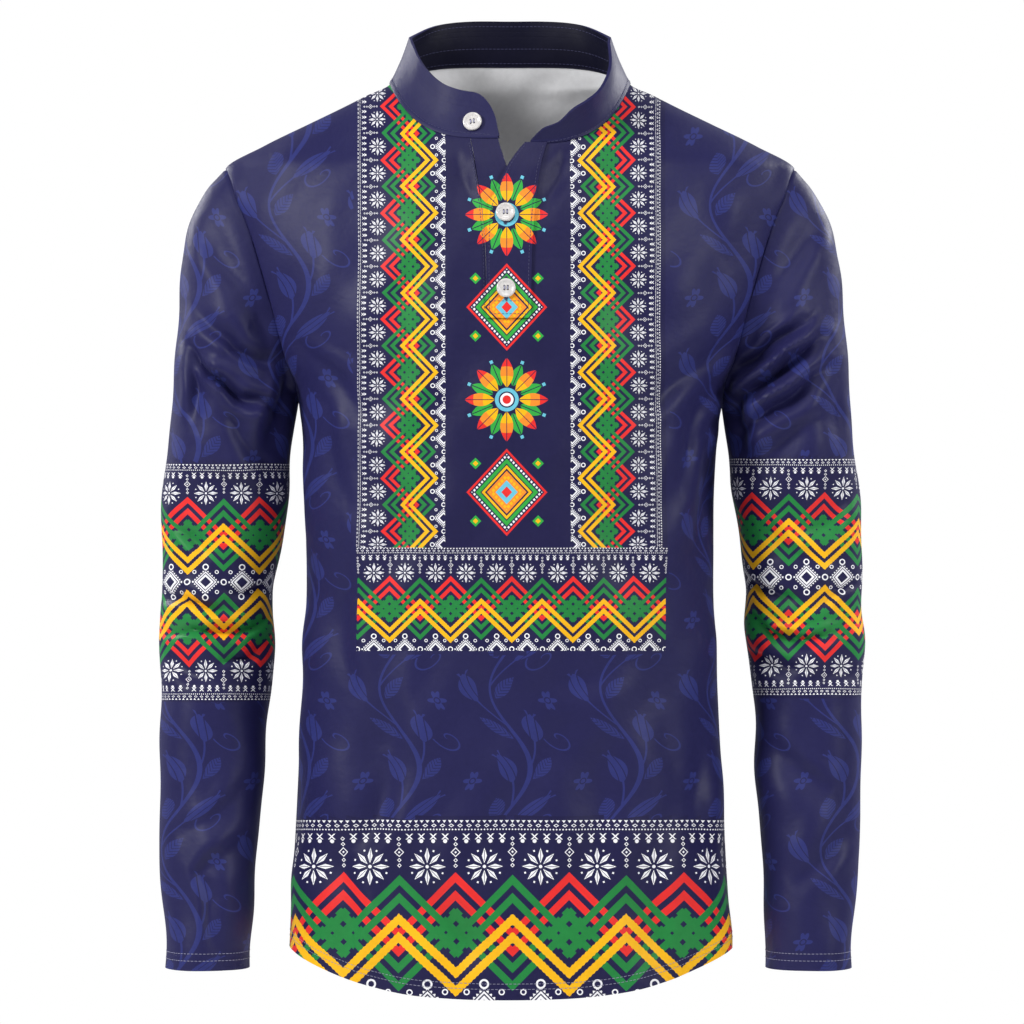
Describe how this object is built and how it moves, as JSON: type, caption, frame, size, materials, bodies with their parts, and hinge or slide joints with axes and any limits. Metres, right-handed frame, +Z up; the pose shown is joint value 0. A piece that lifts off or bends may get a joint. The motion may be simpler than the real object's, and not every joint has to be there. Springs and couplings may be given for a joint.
{
  "type": "long-sleeved henley shirt",
  "caption": "Long-sleeved jersey pullover shirt with a band collar and a short button placket, filled out as worn, with open neck, hem and cuffs.",
  "frame": {"origin": "middle of the neck, level with the points where the shoulder seams meet the collar", "axes": "+Z up, front of the shirt towards -Y, wearer's left towards +X"},
  "size_m": [0.5643, 0.2393, 0.7842],
  "materials": {
    "jersey": "smooth printed knit with a soft sheen",
    "button": "pearly"
  },
  "bodies": {
    "root": {"front": "jersey", "back": "jersey", "sleeve_left": "jersey", "sleeve_right": "jersey", "collar_band": "jersey", "placket_under": "jersey", "placket_outer": "jersey", "button_collar": "button", "button_upper": "button", "button_lower": "button"}
  },
  "joints": []
}
